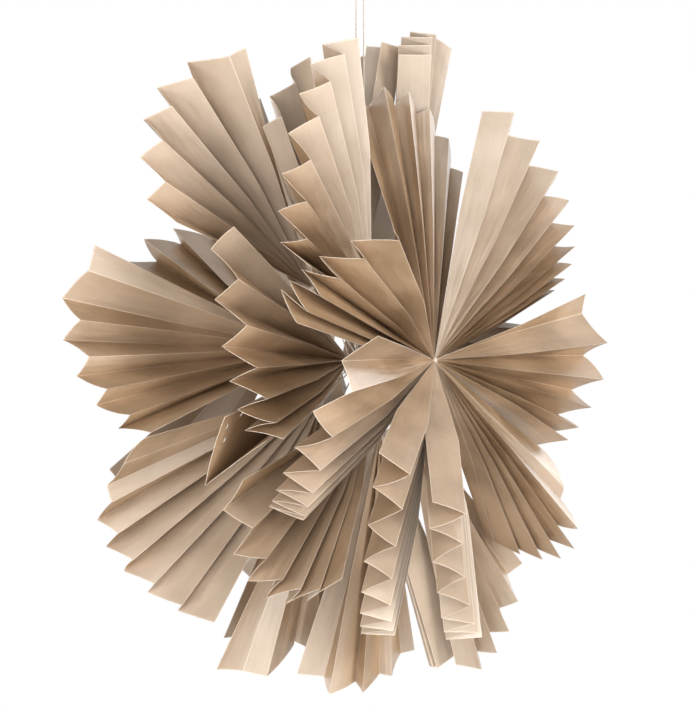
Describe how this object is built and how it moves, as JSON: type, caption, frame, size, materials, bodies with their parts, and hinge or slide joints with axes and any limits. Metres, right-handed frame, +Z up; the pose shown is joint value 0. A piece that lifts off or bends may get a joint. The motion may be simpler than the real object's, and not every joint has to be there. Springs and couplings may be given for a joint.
{
  "type": "pleated paper star",
  "caption": "Hanging ball-shaped star of pleated paper fans, bound at their points, tied together inside and hung by a doubled thread.",
  "frame": {"origin": "the hanging point, the middle of the loop at the top of the thread", "axes": "+Z up along the taut thread, +X to the right of the front view, +Y away from the front view"},
  "size_m": [0.4929, 0.5904, 0.6552],
  "materials": {
    "paper": "satin",
    "thread": "matte"
  },
  "bodies": {
    "root": {"core_knot": "thread", "fan_bottom": "paper", "fan_bottom_closed": "paper", "fan_bottom_left": "paper", "fan_bottom_right": "paper", "fan_front_bottom": "paper", "fan_front_low": "paper", "fan_front_lower_left": "paper", "fan_front_lower_right": "paper", "fan_front_right": "paper", "fan_front_top": "paper", "fan_front_upper_left": "paper", "fan_front_upper_right": "paper", "fan_left": "paper", "fan_lower_left": "paper", "fan_mid_left": "paper", "fan_mid_low": "paper", "fan_punched": "paper", "fan_rear_left": "paper", "fan_rear_low": "paper", "fan_rear_middle": "paper", "fan_rear_right": "paper", "fan_rear_top": "paper", "fan_top": "paper", "fan_top_inner": "paper", "fan_top_right": "paper", "fan_upper_left": "paper", "hanging_thread": "thread", "tie_botleft": "thread", "tie_botmid": "thread", "tie_botright": "thread", "tie_front": "thread", "tie_innertop": "thread", "tie_left": "thread", "tie_lowleft": "thread", "tie_lowmid": "thread", "tie_mid": "thread", "tie_rear": "thread", "tie_rear_left": "thread", "tie_rear_low": "thread", "tie_rear_mid": "thread", "tie_top": "thread", "tie_topright": "thread", "tie_upleft": "thread"}
  },
  "joints": []
}
